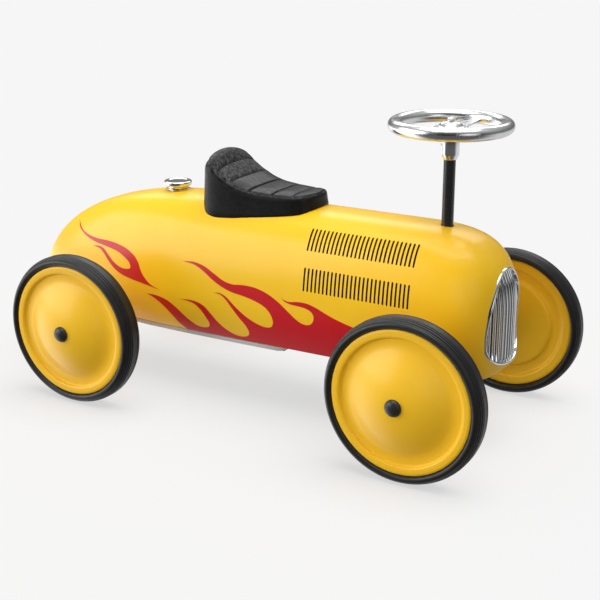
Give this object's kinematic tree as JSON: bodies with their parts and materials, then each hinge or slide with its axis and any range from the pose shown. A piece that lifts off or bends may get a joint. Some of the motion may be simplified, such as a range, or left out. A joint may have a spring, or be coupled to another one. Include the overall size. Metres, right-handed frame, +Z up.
{
  "type": "ride-on pedal car",
  "caption": "Child's foot-to-floor ride-on racing car: pressed steel body, padded saddle, hand wheel with linked front steering and rubber-tyred disc wheels.",
  "frame": {"origin": "on the floor, under the middle of the overall box", "axes": "+X forwards towards the nose, +Y to the left side, +Z up"},
  "size_m": [0.763, 0.3916, 0.3965],
  "materials": {
    "body": "gloss yellow enamel on pressed steel, with painted red flame ornament on the flanks",
    "wheel_enamel": "gloss yellow enamel on pressed steel discs",
    "tyre": "solid black rubber with grooves round the tread",
    "seat": "padded black leathercloth with fine grain and sewn channels",
    "chrome": "polished chrome plate",
    "black_steel": "satin black paint",
    "grey_steel": "zinc plated steel",
    "nylon": "white nylon",
    "black_plastic": "satin black plastic"
  },
  "bodies": {
    "chassis": {"axle_bolt_left": "grey_steel", "axle_bolt_right": "grey_steel", "axle_bracket_left": "grey_steel", "axle_bracket_right": "grey_steel", "axle_spacer": "grey_steel", "axle_spacer_left": "nylon", "axle_spacer_right": "nylon", "body_shell": "body", "chassis_channel": "grey_steel", "column_bush": "nylon", "column_grommet": "black_plastic", "filler_neck": "chrome", "floor_pan": "grey_steel", "front_axle_beam": "black_steel", "fuel_cap": "chrome", "grille_frame": "chrome", "grille_insert": "chrome", "hub_cap_rear_left": "black_plastic", "hub_cap_rear_right": "black_plastic", "kingpin_left": "grey_steel", "kingpin_right": "grey_steel", "pan_bolt_front": "grey_steel", "pan_bolt_rear": "grey_steel", "pan_spacer_front": "grey_steel", "pan_spacer_rear": "grey_steel", "rear_axle": "grey_steel", "seat_bolt_front": "grey_steel", "seat_bolt_rear": "grey_steel", "seat_pad": "seat"},
    "steering": {"steering_wheel": "chrome", "wheel_screw": "chrome", "steering_column": "black_steel", "steering_collar": "chrome", "collar_screw": "black_steel", "crank_arm": "black_steel"},
    "tie_rod": {"tie_rod": "grey_steel", "link_pin_crank": "grey_steel", "link_pin_left": "grey_steel", "link_pin_right": "grey_steel"},
    "knuckle_left": {"knuckle_left": "black_steel", "hub_cap_front_left": "black_plastic"},
    "knuckle_right": {"knuckle_right": "black_steel", "hub_cap_front_right": "black_plastic"},
    "wheel_front_left": {"tyre_front_left": "tyre", "wheel_disc_outer_front_left": "wheel_enamel", "wheel_disc_inner_front_left": "wheel_enamel", "wheel_sleeve_front_left": "nylon"},
    "wheel_front_right": {"tyre_front_right": "tyre", "wheel_disc_outer_front_right": "wheel_enamel", "wheel_disc_inner_front_right": "wheel_enamel", "wheel_sleeve_front_right": "nylon"},
    "wheel_rear_left": {"tyre_rear_left": "tyre", "wheel_disc_outer_rear_left": "wheel_enamel", "wheel_disc_inner_rear_left": "wheel_enamel", "wheel_sleeve_rear_left": "nylon"},
    "wheel_rear_right": {"tyre_rear_right": "tyre", "wheel_disc_outer_rear_right": "wheel_enamel", "wheel_disc_inner_rear_right": "wheel_enamel", "wheel_sleeve_rear_right": "nylon"}
  },
  "joints": [
    {"name": "steering_turn", "type": "hinge", "parent": "chassis", "child": "steering", "pos_m": [0.256, 0, 0.2], "axis": [0, 0, 1], "range_deg": [-25, 25]},
    {"name": "tie_rod_swing", "type": "hinge", "parent": "steering", "child": "tie_rod", "pos_m": [0.222, 0, 0.0943], "axis": [0, 0, 1], "range_deg": [-25, 25]},
    {"name": "knuckle_left_turn", "type": "hinge", "parent": "chassis", "child": "knuckle_left", "pos_m": [0.2815, 0.125, 0.1], "axis": [0, 0, 1], "range_deg": [-25, 25]},
    {"name": "knuckle_right_turn", "type": "hinge", "parent": "chassis", "child": "knuckle_right", "pos_m": [0.2815, -0.125, 0.1], "axis": [0, 0, 1], "range_deg": [-25, 25]},
    {"name": "wheel_front_left_roll", "type": "hinge", "parent": "knuckle_left", "child": "wheel_front_left", "pos_m": [0.2815, 0.164, 0.1], "axis": [0, 1, 0], "continuous": true},
    {"name": "wheel_front_right_roll", "type": "hinge", "parent": "knuckle_right", "child": "wheel_front_right", "pos_m": [0.2815, -0.164, 0.1], "axis": [0, 1, 0], "continuous": true},
    {"name": "wheel_rear_left_roll", "type": "hinge", "parent": "chassis", "child": "wheel_rear_left", "pos_m": [-0.2011, 0.164, 0.1], "axis": [0, 1, 0], "continuous": true},
    {"name": "wheel_rear_right_roll", "type": "hinge", "parent": "chassis", "child": "wheel_rear_right", "pos_m": [-0.2011, -0.164, 0.1], "axis": [0, 1, 0], "continuous": true}
  ],
  "couplings": [
    {"joint": "tie_rod_swing", "follows": "steering_turn", "ratio": -1},
    {"joint": "knuckle_left_turn", "follows": "steering_turn", "ratio": 1},
    {"joint": "knuckle_right_turn", "follows": "steering_turn", "ratio": 1}
  ]
}
